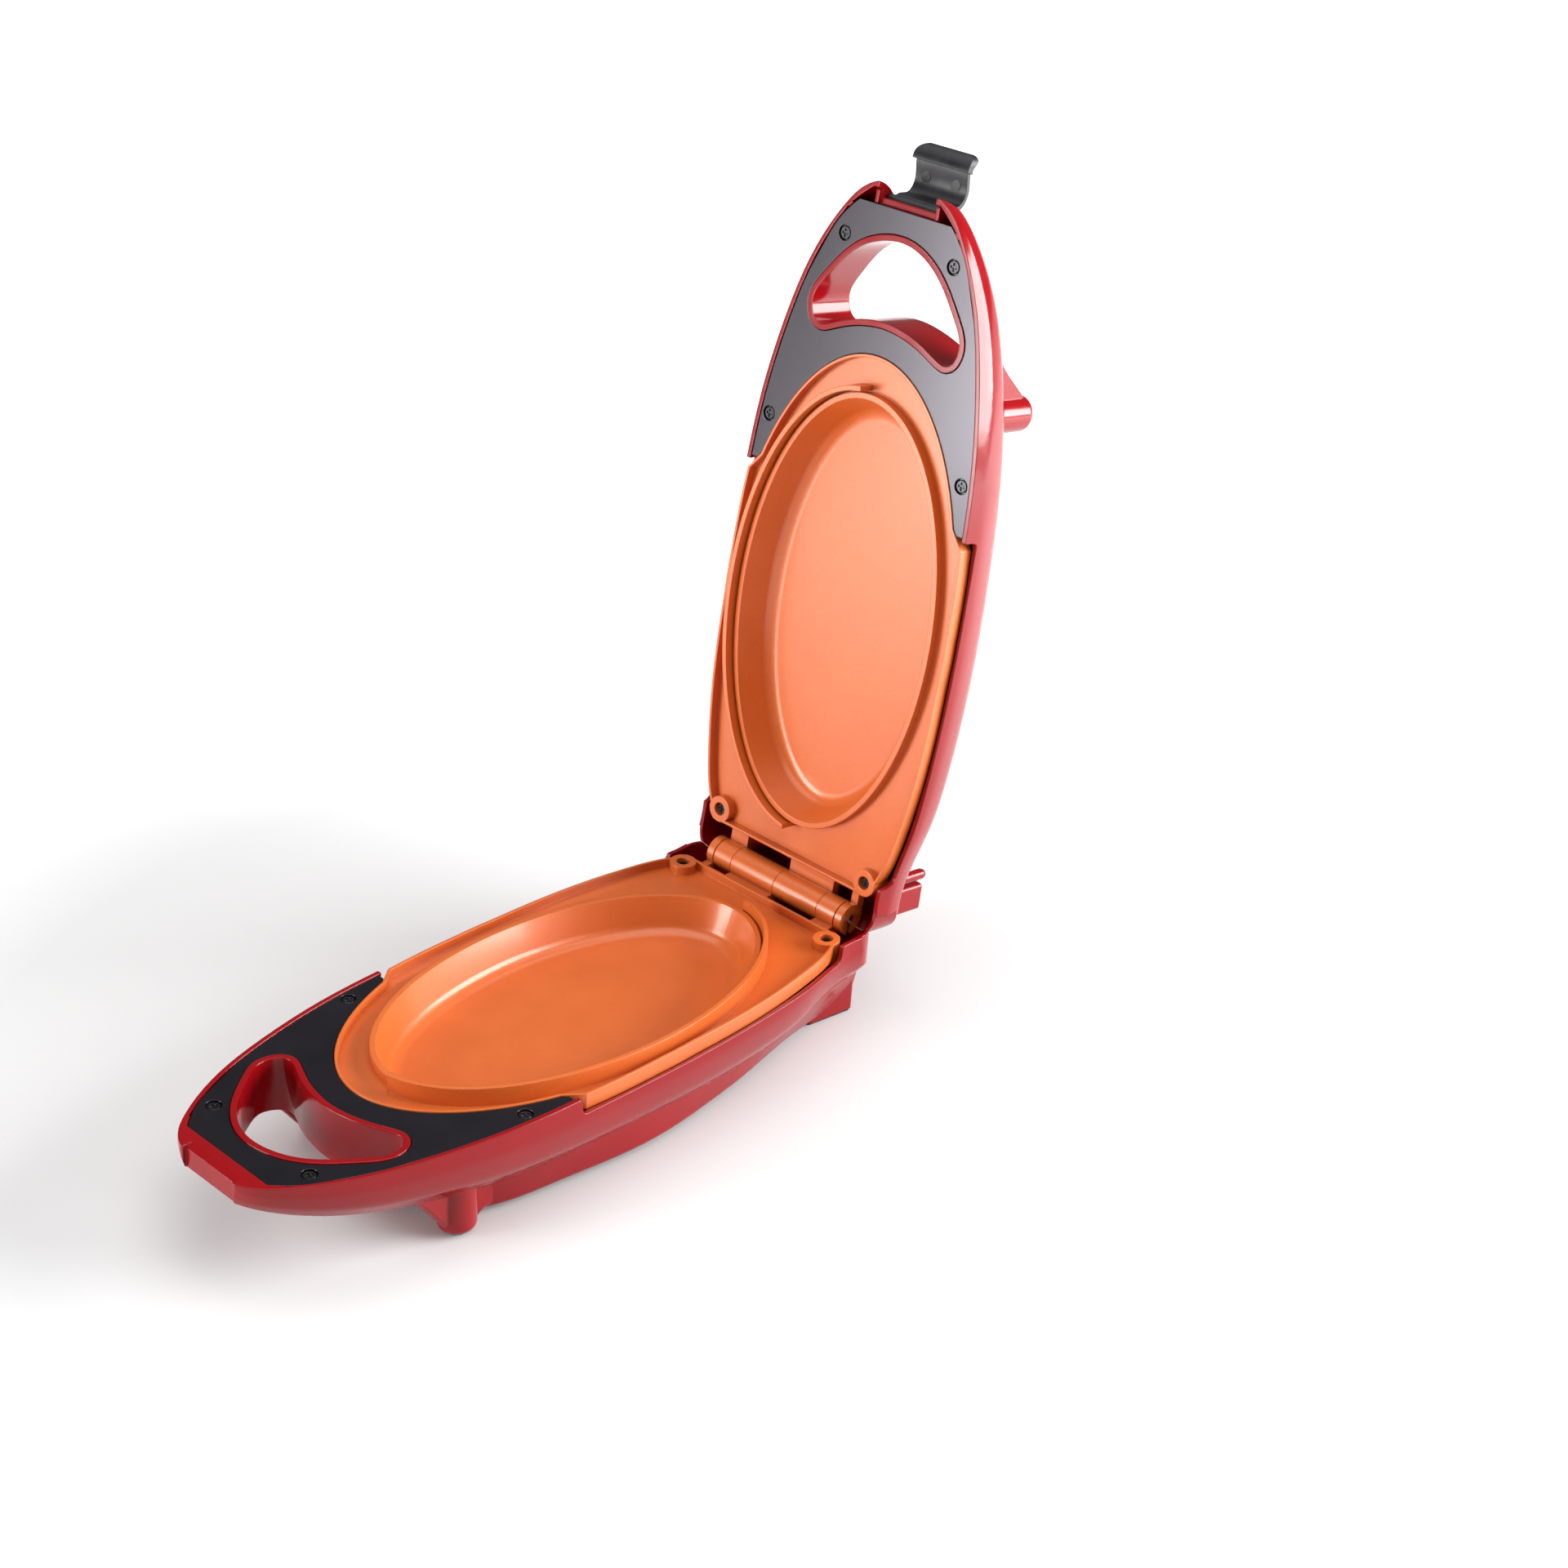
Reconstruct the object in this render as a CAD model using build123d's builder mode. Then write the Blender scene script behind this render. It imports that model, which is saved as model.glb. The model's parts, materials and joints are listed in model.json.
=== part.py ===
"""Electric pancake maker: two boat-shaped halves joined by a cast hinge, open at rest.

Millimetres, +Z up. Both halves are described in one local frame, on the hinge
axis: X across, the nose along -Y, the parting plane at Z 0 and each half's own
shell below it. The lid is the same half turned over and swung open.
"""
import os
from math import cos, radians, sin, tan

from build123d import *

os.makedirs("parts", exist_ok=True)

# Driving dimensions of the body
reach = 358.0  # hinge axis to the flat nose
tail = 8.0  # hinge axis to the rear wall
half_width = 73.0  # half the body's width at the rim
shell_depth = 41.5  # deepest point of a half below the parting plane
wall = 2.4
rear_wall = 1.6
lip = 2.3  # width of the red rim round the trim
foot_height = 56.0  # parting plane to the bottom of the feet
open_angle = 98.5  # from closed to the open stop
part_gap = 0.15  # each half stays this far below the parting plane
stop_gap = 0.15  # each half stays this far from the plane where they meet when open
seat_gap = 0.4  # visible gap round pieces that drop into the housing
plate_clearance = 0.9  # gap between the cooking plate's wall and the housing
slip = 0.05  # radial clearance of a pin or a screw in its hole
overrun = 5.0  # length by which a cut runs past the surface that it opens

# Stations of the shell: place along the reach, half width and depth, as shares
station_shares = (
    (1.0, 0.26, 0.27),
    (0.975, 0.418, 0.35),
    (0.95, 0.534, 0.42),
    (0.911, 0.637, 0.518),
    (0.866, 0.733, 0.602),
    (0.817, 0.808, 0.675),
    (0.768, 0.866, 0.735),
    (0.673, 0.945, 0.831),
    (0.531, 0.986, 0.954),
    (0.397, 1.0, 1.0),
    (0.237, 0.973, 0.993),
    (0.131, 0.912, 0.904),
    (0.081, 0.863, 0.819),
    (0.02, 0.843, 0.68),
    (-0.0223, 0.76, 0.58),
)
# Flank of a section: outward step and depth, as shares of the section's depth
flank_shares = ((0.04, 0.25), (0.0, 0.5), (-0.08, 0.72), (-0.22, 0.9), (-0.45, 1.0))
flank_start_share = 0.1  # outward slope of the flank at the rim

outline_steps = 25  # points that carry an outline when it is drawn in or out
section_steps = 19  # sections that carry the shell
halving_steps = 30  # halvings that find a place along a curve

# Rounded rear of the shell: corners seen from above, and the slope seen from the side
rear_corner = 16.0
rear_slope_top = 5.5
rear_slope_size = 19.0
rear_slope_shares = ((0.0, 0.0), (0.17, 0.5), (0.62, 1.15))  # place forward and depth

# Lowered rim beside the cooking plate
rim_drop = 7.7
rim_drop_front = 206.5
rim_drop_rear = 29.0
cheek_front = 22.0  # where the rear cheeks reach the parting plane

# Cooking plate
well_centre = 147.0  # hinge axis to the middle of the well
well_length = 110.0  # half the well's length
well_width = 60.0  # half the well's width
well_depth = 18.0
well_draft = 22.0
well_floor_radius = 7.0
ring_width = 2.8
plate_skin = 2.6
plate_front = 131.5  # half the length of the plate's front ellipse
plate_front_width = 71.8
plate_half_width = 71.6
plate_height = 8.2
plate_rim_width = 1.4
plate_rear = 15.6  # hinge axis to the plate's rear edge
tray_depth = 5.0
ridge_gap = 3.9  # well edge to the sealing ridge
ridge_width = 2.0
ridge_foot = 0.5
ridge_rise = 4.5  # sealing ridge above the parting plane
ridge_end = 3.5  # how far from the middle the half ring stops
# Side of the plate from its front step to the rear corner: place and half width
plate_side_shares = (
    (0.567, 0.972),
    (0.483, 0.997),
    (0.397, 1.0),
    (0.307, 0.994),
    (0.221, 0.965),
    (0.134, 0.9),
    (0.084, 0.838),
    (0.066, 0.8),
)
plate_step_share = (0.589, 0.885)

# Plate bosses and their screws
boss_x = 50.5
boss_v = 22.0
boss_radius = 7.0
boss_drop = 4.0
counterbore_radius = 3.5
counterbore_depth = 3.2
plate_screw_head = 2.8
plate_screw_head_height = 1.5
plate_screw_shank = 1.4
plate_screw_length = 20.0

# Hinge
knuckle_radius = 8.2
knuckle_long = 30.0  # the two long knuckles meet in the middle
knuckle_short = 12.0
lug_gap = 0.6
lug_width = 4.4
knuckle_gap = 0.2
hinge_pin_radius = 2.5
web_drop = 3.2
lug_slot = 3.0

# Finger hole: place along the reach and half width across, as shares
hole_shares = (
    (0.9313, 0.0),
    (0.9075, 0.329),
    (0.8575, 0.548),
    (0.8187, 0.63),
    (0.7966, 0.571),
    (0.8045, 0.399),
    (0.8203, 0.164),
    (0.824, 0.0),
)
hole_lip = 2.9
hole_lip_proud = 0.45  # lip above the trim

# Trim plate and its screws
trim_thickness = 2.6
trim_drop = 0.6  # trim top below the parting plane
trim_nose = 348.0  # hinge axis to the trim's straight nose edge
trim_tip = 209.5
trim_hole_radius = 3.8
trim_screw_recess = 1.6
trim_screw_head = 3.1
trim_screw_head_height = 1.2
trim_screw_shank = 1.5
trim_screw_length = 12.0
trim_screw_places = ((33.7, 330.0), (62.0, 233.0))
post_radius = 4.2
plate_post_place = (63.5, 196.0)
plate_post_radius = 3.0

# Feet
front_foot = (49.5, 261.7)
front_foot_radius = 9.2
front_foot_round = 4.0
front_pad_radius = 5.0
pad_height = 1.6
rear_foot_inner = 34.0
rear_foot_outer = 48.5
rear_foot_back = 6.3  # hinge axis to the rear end of the rear feet
rear_foot_round = 2.2
rear_pad_inset = 1.2
lower_rear_foot_front = 23.0
lower_rear_foot_taper = 4.0  # how much narrower the lower rear foot is at its front
upper_rear_foot_front = 8.5
upper_rear_foot_taper = 0.6
heel_post_place = (45.2, 13.2)
heel_post_radius = 2.9
web_thickness = 8.0
web_round = 2.0
web_root = 12.0  # depth at which the web ends inside the shell
web_reach = 40.0  # foot to the tip of the web that runs toward the nose
# Edges of the webs: place along the reach and depth along the foot's height
nose_web_shares = ((0.2, 0.91), (0.4, 0.725), (0.62, 0.53), (1.0, 0.357))
belly_web_shares = ((-0.2, 0.955), (-0.29, 0.905), (-0.44, 0.88))

# Belly of the lower housing: place and half width at its top and its bottom
belly_depth = 52.5
belly_top = 30.0
belly_half_width = 63.6
belly_round = 2.5
belly_top_shares = (
    (0.7655, 0.28),
    (0.754, 0.5),
    (0.735, 0.69),
    (0.712, 0.79),
    (0.672, 0.885),
    (0.580, 0.97),
    (0.460, 1.03),
    (0.350, 1.02),
    (0.237, 0.965),
    (0.150, 0.93),
    (0.067, 0.86),
    (-0.017, 0.78),
)
belly_bottom_shares = (
    (0.7635, 0.26),
    (0.750, 0.47),
    (0.731, 0.64),
    (0.708, 0.735),
    (0.672, 0.828),
    (0.580, 0.925),
    (0.460, 1.012),
    (0.385, 1.01),
    (0.312, 0.962),
    (0.245, 0.905),
    (0.150, 0.787),
    (0.067, 0.715),
    (-0.017, 0.70),
)

# Latch on the lid's nose
latch_pivot = (349.5, 9.0)
latch_half_width = 17.0
blade_half_width = 15.8
blade_mark = (9.2, 361.9)  # round mark on the blade's inner face, across and along
blade_mark_radius = 2.8
blade_mark_share = 0.833  # the blade's depth there, along its rise
blade_mark_tilt = -6.8
blade_mark_rise = 0.3
latch_side_gap = 0.45
latch_thickness = 2.1
latch_hub_radius = 3.0
latch_pin_radius = 1.5
# Middle line of the latch from its hub to its lip: place and depth from the pivot
latch_lip_reach = 27.4
latch_lip_rise = 18.6
latch_corner = 4.5
latch_line_shares = (
    (0.02, 0.08),
    (0.095, 0.30),
    (0.12, 0.62),
    (0.36, 0.835),
    (0.68, 0.765),
    (0.82, 0.765),
)
# Lip beyond the line: hook tip, roll and end, then back along the outside
latch_hook_shares = ((0.735, 0.60), (0.72, 0.72))
latch_roll_shares = ((0.735, 0.60), (0.90, 0.70), (1.01, 1.0))
latch_outside_shares = ((1.01, 1.0), (0.93, 1.0), (0.82, 0.86), (0.70, 0.82))

# Nose of the lid
slot_floor = 345.2  # rear wall of the slot in the lid's nose
bar_front = 350.6
bar_top = 3.4
bar_depth = 5.4
ear_thickness = 2.0
ear_front = 354.0
ear_top = 1.2
# Rounded end of the nose from the side: place back from the nose and depth, as shares
nose_round_size = 15.9
nose_round_shares = ((-0.02, -0.02), (0.16, 0.47), (0.82, 1.03))

# Catch on the lower nose
catch_half_width = 17.5
catch_face = 356.3
catch_slope = (352.8, 1.6)

# Electrics inside
element_radius = 3.25
element_half_span = 34.0
element_bend_v = 190.0
element_end_v = 66.0
element_pin_radius = 1.2
element_pin_length = 14.0
shield_length = 101.0
shield_width = 51.0
shield_thickness = 0.8
shield_flange = 7.0
shield_notch = 16.0
stud_radius = 3.4
stud_places = (75.0, 205.0)
shield_screw_head = 3.0
shield_screw_head_height = 1.6
shield_screw_shank = 1.3
shield_screw_length = 6.0
thermostat_radius = 8.0
thermostat_height = 6.6
thermostat_v = 130.0
fuse_radius = 2.2
fuse_length = 12.0
fuse_place = (18.0, 165.0)
wire_radius = 1.1
block_size = (34.0, 14.0, 9.0)
block_v = 36.0
gland_bore = 3.4
gland_neck = 5.2
gland_flange = 8.0
gland_flange_thickness = 2.0
gland_depth = 39.5
gland_inner = 3.0

# Places worked out from the sizes above
nose_cosine = -cos(radians(open_angle))
nose_sine = sin(radians(open_angle))
lid_back = (front_foot[1] + front_pad_radius) * nose_cosine + foot_height * nose_sine
axis_y = (reach - lid_back) / 2
plate_underside = well_depth + plate_skin
element_depth = plate_underside + element_radius
shield_depth = element_depth + element_radius + seat_gap

# Frame of each half: the base stands on its feet, the lid is turned over and swung open
base_place = Location((0, axis_y, foot_height))
lid_place = base_place * Location((0, 0, 0), (1, 0, 0), -open_angle) * Location(
    (0, 0, 0), (0, 1, 0), 180
)


def plan(x, v):
    """Point of the plan: x across, v from the hinge axis toward the nose."""
    return (x, -v)


def side(v, depth):
    """Point of a side view on Plane.YZ."""
    return (-v, -depth)


def rail(sizes):
    """Curve that gives a size across against the place along the body."""
    places = [s * reach for s, w, d in station_shares]
    with BuildLine(mode=Mode.PRIVATE):
        curve = Spline(*[plan(size, v) for size, v in zip(sizes, places)])
    return curve


width_rail = rail([w * half_width for s, w, d in station_shares])
depth_rail = rail([d * shell_depth for s, w, d in station_shares])


def along(curve, v):
    """Size across that a rail gives at v, found by halving."""
    low, high = 0.0, 1.0
    for _ in range(halving_steps):
        middle = (low + high) / 2
        if -(curve @ middle).Y > v:
            low = middle
        else:
            high = middle
    return (curve @ low).X


def section_face(v, inset):
    """Cross section of the shell at v, drawn on its own plane."""
    width = along(width_rail, v) - inset
    depth = along(depth_rail, v) - inset
    flank = [(width + a * depth, -b * depth) for a, b in flank_shares]
    with BuildSketch(Plane.XZ.offset(v)) as face:
        with BuildLine():
            right = Spline((width, -part_gap), *flank, tangents=((flank_start_share, -1), (-1, 0)))
            mirror(right, about=Plane.YZ)
            Line(right @ 0, (-(right @ 0).X, (right @ 0).Y))
            Line(right @ 1, (-(right @ 1).X, (right @ 1).Y))
        make_face()
    return face


def shell_solid(places, inset):
    """Solid of the boat shape through its sections at the given places."""
    faces = [section_face(v, inset) for v in places]
    with BuildPart() as solid:
        for face in faces:
            add(face.sketch)
        loft()
    return solid.part


def outline_face(shares, length, width):
    """Face with a spline along each side and straight ends, from shares of two sizes."""
    points = [plan(w * width, s * length) for s, w in shares]
    with BuildSketch() as face:
        with BuildLine():
            right = Spline(*points)
            mirror(right, about=Plane.YZ)
            Line(right @ 0, (-(right @ 0).X, (right @ 0).Y))
            Line(right @ 1, (-(right @ 1).X, (right @ 1).Y))
        make_face()
    return face.sketch


def shifted(curve, amount, count):
    """Points along a curve, moved outward, which is to the right of its direction."""
    points = []
    for i in range(count):
        place = curve @ (i / (count - 1))
        way = curve % (i / (count - 1))
        points.append((place.X + way.Y * amount, place.Y - way.X * amount))
    return points


def rim_face(inset):
    """Plan of the rim, drawn in by an inset."""
    with BuildSketch() as face:
        with BuildLine():
            right = Spline(*shifted(width_rail, -inset, outline_steps))
            mirror(right, about=Plane.YZ)
            Line(right @ 0, (-(right @ 0).X, (right @ 0).Y))
            Line(right @ 1, (-(right @ 1).X, (right @ 1).Y))
        make_face()
    return face.sketch


def ellipse_face(grow):
    """Ellipse of the well, grown all round."""
    with BuildSketch() as face:
        with Locations(plan(0, well_centre)):
            Ellipse(well_width + grow, well_length + grow)
    return face.sketch


def front_face(grow):
    """Ellipse of the plate's front."""
    with BuildSketch() as face:
        with Locations(plan(0, well_centre)):
            Ellipse(plate_front_width + grow, plate_front + grow)
    return face.sketch


def hole_face(grow):
    """Kidney-shaped finger hole, grown all round."""
    right = [plan(w * half_width, s * reach) for s, w in hole_shares]
    left = [(-x, y) for x, y in right[-2:0:-1]]
    with BuildLine(mode=Mode.PRIVATE):
        inner = Spline(*right, *left, periodic=True)
    with BuildSketch() as face:
        with BuildLine():
            Spline(*shifted(inner, grow, 2 * outline_steps)[:-1], periodic=True)
        make_face()
    return face.sketch


def plate_face(inset):
    """Plan of the cooking plate: elliptical front, side steps and rounded rear."""
    half = plate_half_width
    points = [plan(w * half, s * reach) for s, w in plate_side_shares]
    with BuildLine(mode=Mode.PRIVATE):
        outer = Spline(*points)
        chamfered = Line(plan(plate_step_share[1] * half, plate_step_share[0] * reach), points[0])
    moved = shifted(chamfered, -inset, 2)
    inward = (chamfered % 0) * boss_radius
    step = (moved[0][0] - inward.X, moved[0][1] - inward.Y)
    with BuildSketch() as face:
        with BuildLine():
            right = Spline(*shifted(outer, -inset, outline_steps))
            tip = Line(step, right @ 0)
            corner = Line(
                right @ 1, plan(boss_x + boss_radius / 2 - inset, plate_rear + inset)
            )
            mirror(right, about=Plane.YZ)
            mirror(tip, about=Plane.YZ)
            mirror(corner, about=Plane.YZ)
            Line(corner @ 1, (-(corner @ 1).X, (corner @ 1).Y))
            Line(step, (-step[0], step[1]))
        make_face()
        add(front_face(-inset))
        with Locations(plan(boss_x, boss_v), plan(-boss_x, boss_v)):
            Circle(boss_radius - inset)
    return face.sketch


def frustum(top, floor, top_depth, floor_depth, rounding):
    """Tapered oval bowl between two growths of the well's ellipse."""
    with BuildPart() as bowl:
        with BuildSketch(Plane.XY.offset(-top_depth)):
            add(ellipse_face(top))
        with BuildSketch(Plane.XY.offset(-floor_depth)):
            add(ellipse_face(floor))
        loft(ruled=True)
        fillet(bowl.edges().group_by(Axis.Z)[0], radius=rounding)
    return bowl.part


def screw_solid(head_radius, head_height, shank_radius, length):
    """Pan head screw, its head's top at the origin and its shank down -Z."""
    with BuildPart() as screw:
        with BuildSketch():
            Circle(head_radius)
        extrude(amount=-head_height)
        chamfer(screw.edges().group_by(Axis.Z)[-1], length=head_height / 4)
        with BuildSketch(Plane.XY.offset(-head_height)):
            Circle(shank_radius)
        extrude(amount=-(length - head_height))
        with BuildSketch():
            Rectangle(head_radius * 1.3, head_radius / 3)
            Rectangle(head_radius / 3, head_radius * 1.3)
        extrude(amount=-head_height / 2, mode=Mode.SUBTRACT)
    return screw.part


def pair(place, depth=0.0):
    """The two mirrored places of a point of the plan, at a depth."""
    x, v = place
    return [(x, -v, -depth), (-x, -v, -depth)]


def rear_foot_faces(front, taper, inset):
    """Outlines of the two rear feet, drawn in by an inset."""
    with BuildSketch() as face:
        with BuildLine():
            Polyline(
                plan(rear_foot_outer - inset, inset - rear_foot_back),
                plan(rear_foot_outer - taper - inset, front - inset),
                plan(rear_foot_inner + inset, front - inset),
                plan(rear_foot_inner + inset, inset - rear_foot_back),
                close=True,
            )
        make_face()
        fillet(face.vertices(), radius=rear_foot_round - inset)
        mirror(about=Plane.YZ)
    return face.sketch


def foot_web(shares):
    """Web of the front foot at +X, its edge drawn through shares of its reach and depth."""
    edge = [side(front_foot[1] + a * web_reach, b * foot_height) for a, b in shares]
    with BuildPart() as web:
        with BuildSketch(Plane.YZ.offset(front_foot[0] - web_thickness / 2)):
            with BuildLine():
                Spline(*edge)
                Polyline(
                    edge[-1],
                    side(front_foot[1] + shares[-1][0] * web_reach, web_root),
                    side(front_foot[1], web_root),
                    side(front_foot[1], shares[0][1] * foot_height),
                    edge[0],
                )
            make_face()
        extrude(amount=web_thickness)
        fillet(web.edges().filter_by(GeomType.BSPLINE), radius=web_round)
    return web.part


def rear_keep(inset):
    """Block that trims the shell to rounded rear corners and a sloped rear wall."""
    corner_front = rear_corner - tail
    corner_x = along(width_rail, corner_front) - inset
    slope = [
        side(inset - tail + a * rear_slope_size, rear_slope_top + b * rear_slope_size - inset)
        for a, b in rear_slope_shares
    ]
    with BuildPart() as block:
        with BuildSketch() as outline:
            with Locations(plan(0, inset - tail)):
                Rectangle(2 * corner_x, reach, align=(Align.CENTER, Align.MAX))
            fillet(outline.vertices().group_by(Axis.Y)[-1], radius=rear_corner - inset)
            with Locations(plan(0, corner_front)):
                Rectangle(2 * reach, reach, align=(Align.CENTER, Align.MAX))
        extrude(amount=-foot_height)
        with BuildSketch(Plane.YZ):
            with BuildLine():
                ThreePointArc(*slope)
                Polyline(
                    slope[-1],
                    (slope[-1][0], -foot_height),
                    (tail + overrun, -foot_height),
                    (tail + overrun, slope[0][1]),
                    slope[0],
                )
            make_face()
        extrude(amount=reach, both=True, mode=Mode.SUBTRACT)
    return block.part


def nose_round(inset):
    """Block in front of the rounded end of the lid's nose, drawn in by an inset."""
    start, middle, end = [
        side(reach - a * nose_round_size - inset, b * nose_round_size - inset)
        for a, b in nose_round_shares
    ]
    with BuildPart() as block:
        with BuildSketch(Plane.YZ):
            with BuildLine():
                ThreePointArc(start, middle, end)
                Line(end, (end[0], -foot_height))
                Line((end[0], -foot_height), (-reach - overrun, -foot_height))
                Line((-reach - overrun, -foot_height), (-reach - overrun, start[1]))
                Line((-reach - overrun, start[1]), start)
            make_face()
        extrude(amount=half_width, both=True)
    return block.part


def make_node(name, solid, place):
    """One finished piece, set in its place and written to its own file."""
    with BuildPart() as node:
        add(solid.moved(place))
    node.part.label = name
    export_step(node.part, f"parts/{name}.step")


# Shell shared by both housings: the boat shape with everything that stands in it
shell_places = [-(width_rail @ (i / (section_steps - 1))).Y for i in range(section_steps)]
cavity_ends = (slot_floor - wall, rear_wall - tail)
cavity_places = [v for v in shell_places if cavity_ends[1] + wall < v < cavity_ends[0] - wall]
boat = shell_solid(shell_places, 0) & rear_keep(0)
cavity = shell_solid([cavity_ends[0], *cavity_places, cavity_ends[1]], wall) & rear_keep(rear_wall)

with BuildPart() as belly:
    for depth, shares in ((belly_top, belly_top_shares), (belly_depth, belly_bottom_shares)):
        with BuildSketch(Plane.XY.offset(-depth)):
            add(outline_face(shares, reach, belly_half_width))
    loft(ruled=True)
    fillet(belly.edges().group_by(Axis.Z)[0], radius=belly_round)

with BuildPart() as belly_cavity:
    for depth, shares in (
        (belly_top - wall, belly_top_shares),
        (belly_depth - wall, belly_bottom_shares),
    ):
        front = (shares[0][0] - wall / reach, shares[0][1])
        rear = (shares[-1][0] + wall / reach, shares[-1][1])
        with BuildSketch(Plane.XY.offset(-depth)):
            add(outline_face((front, *shares[1:-1], rear), reach, belly_half_width - wall))
    loft(ruled=True)

# The belly stands out behind the sloped rear wall, so its cavity has a roof there
with BuildPart() as belly_roof:
    with Locations((0, 0, -belly_top - wall)):
        Box(2 * reach, 2 * reach, belly_top + wall, align=(Align.CENTER, Align.CENTER, Align.MIN))
    add(rear_keep(rear_wall), mode=Mode.SUBTRACT)
belly_hollow = belly_cavity.part - belly_roof.part

foot_rise = foot_height - pad_height - shell_depth / 2
with BuildPart() as feet:
    with BuildSketch(Plane.XY.offset(pad_height - foot_height)):
        with Locations(plan(*front_foot), plan(-front_foot[0], front_foot[1])):
            Circle(front_foot_radius)
    extrude(amount=foot_rise)
    fillet(feet.edges().group_by(Axis.Z)[0], radius=front_foot_round)
    add(foot_web(nose_web_shares))
    add(foot_web(nose_web_shares).mirror(Plane.YZ))

with BuildPart() as lower_rear_feet:
    with BuildSketch(Plane.XY.offset(pad_height - foot_height)):
        add(rear_foot_faces(lower_rear_foot_front, lower_rear_foot_taper, 0))
    extrude(amount=foot_rise)

with BuildPart() as upper_rear_feet:
    with BuildSketch(Plane.XY.offset(pad_height - foot_height)):
        add(rear_foot_faces(upper_rear_foot_front, upper_rear_foot_taper, 0))
        with Locations(plan(*heel_post_place), plan(-heel_post_place[0], heel_post_place[1])):
            Circle(heel_post_radius)
    extrude(amount=foot_rise)

# Interior features that both housings share, trimmed to the boat shape
with BuildPart() as tube:
    with BuildSketch(Plane.XY.offset(hole_lip_proud - trim_drop)):
        add(hole_face(hole_lip))
    extrude(amount=-shell_depth)

with BuildPart() as posts:
    trim_seat = trim_drop + trim_thickness
    for place in trim_screw_places:
        with Locations(*pair(place, trim_seat)):
            Cylinder(post_radius, shell_depth, align=(Align.CENTER, Align.CENTER, Align.MAX))
    with Locations(*pair((boss_x, boss_v), plate_height + boss_drop)):
        Cylinder(post_radius, shell_depth, align=(Align.CENTER, Align.CENTER, Align.MAX))
    with Locations(*pair(plate_post_place, plate_height)):
        Cylinder(plate_post_radius, shell_depth, align=(Align.CENTER, Align.CENTER, Align.MAX))

with BuildPart() as pilots:
    for place in trim_screw_places:
        with Locations(*pair(place, trim_seat)):
            depth = trim_screw_length + overrun
            Cylinder(trim_screw_shank + slip, depth, align=(Align.CENTER, Align.CENTER, Align.MAX))
    with Locations(*pair((boss_x, boss_v), plate_height + boss_drop)):
        Cylinder(
            plate_screw_shank + slip,
            plate_screw_length,
            align=(Align.CENTER, Align.CENTER, Align.MAX),
        )

inner_walls = (tube.part + posts.part) & boat

# Material taken from the top of both housings
with BuildPart() as top_cuts:
    with BuildSketch(Plane.XY.offset(overrun)):
        add(rim_face(lip))
        with Locations(plan(0, (trim_nose + trim_tip) / 2)):
            Rectangle(half_width * 2, trim_nose - trim_tip, mode=Mode.INTERSECT)
    extrude(amount=-(overrun + trim_seat))
    with BuildSketch(Plane.XY.offset(overrun)):
        add(plate_face(-plate_clearance))
    extrude(amount=-(overrun + plate_height + plate_clearance))
    with BuildSketch(Plane.YZ):
        with BuildLine():
            rear_top = side(cheek_front, 0)
            rear_low = side(rim_drop_rear, rim_drop)
            front_low = side(rim_drop_front - lip / 2, rim_drop)
            front_top = side(rim_drop_front + lip / 2, 0)
            Spline(rear_top, rear_low, tangents=((-0.3, -1), (-1, 0)))
            Line(rear_low, front_low)
            Spline(front_low, front_top, tangents=((-1, 0), (-0.2, 1)))
            Line(front_top, side(rim_drop_front + lip / 2, -overrun))
            Line(side(rim_drop_front + lip / 2, -overrun), side(cheek_front, -overrun))
            Line(side(cheek_front, -overrun), rear_top)
        make_face()
    extrude(amount=half_width * 2, both=True)
    with BuildSketch(Plane.YZ):
        with BuildLine():
            start = stop_gap / cos(radians(open_angle / 2))
            back = 3 * tail
            fall = back * tan(radians(open_angle / 2))
            Polyline(
                side(0, start),
                side(-back, start + fall),
                side(-back, -overrun),
                side(0, -overrun),
                close=True,
            )
        make_face()
    extrude(amount=half_width * 2, both=True)

with BuildPart() as hole_cut:
    with BuildSketch(Plane.XY.offset(overrun)):
        add(hole_face(0))
    extrude(amount=-(foot_height + overrun))

# Lower housing: boat, belly and feet, hollowed, with the catch on its nose
with BuildPart() as lower_shell:
    add(boat)
    add(belly.part)
    add(feet.part)
    add(lower_rear_feet.part)
    add(foot_web(belly_web_shares))
    add(foot_web(belly_web_shares).mirror(Plane.YZ))
    add(cavity + belly_hollow, mode=Mode.SUBTRACT)
    add(top_cuts.part, mode=Mode.SUBTRACT)
    add(inner_walls)
    add(hole_cut.part, mode=Mode.SUBTRACT)
    add(pilots.part, mode=Mode.SUBTRACT)
    with BuildSketch(Plane.YZ):
        with BuildLine():
            Polyline(
                side(catch_slope[0], 0),
                side(catch_face, catch_slope[1]),
                side(catch_face, shell_depth),
                side(reach + overrun, shell_depth),
                side(reach + overrun, -overrun),
                side(catch_slope[0], -overrun),
                close=True,
            )
        make_face()
    extrude(amount=catch_half_width, both=True, mode=Mode.SUBTRACT)
    with Locations(Location((0, tail, -gland_depth), (1, 0, 0), 90)):
        Cylinder(gland_neck, tail + overrun, mode=Mode.SUBTRACT)

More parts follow.
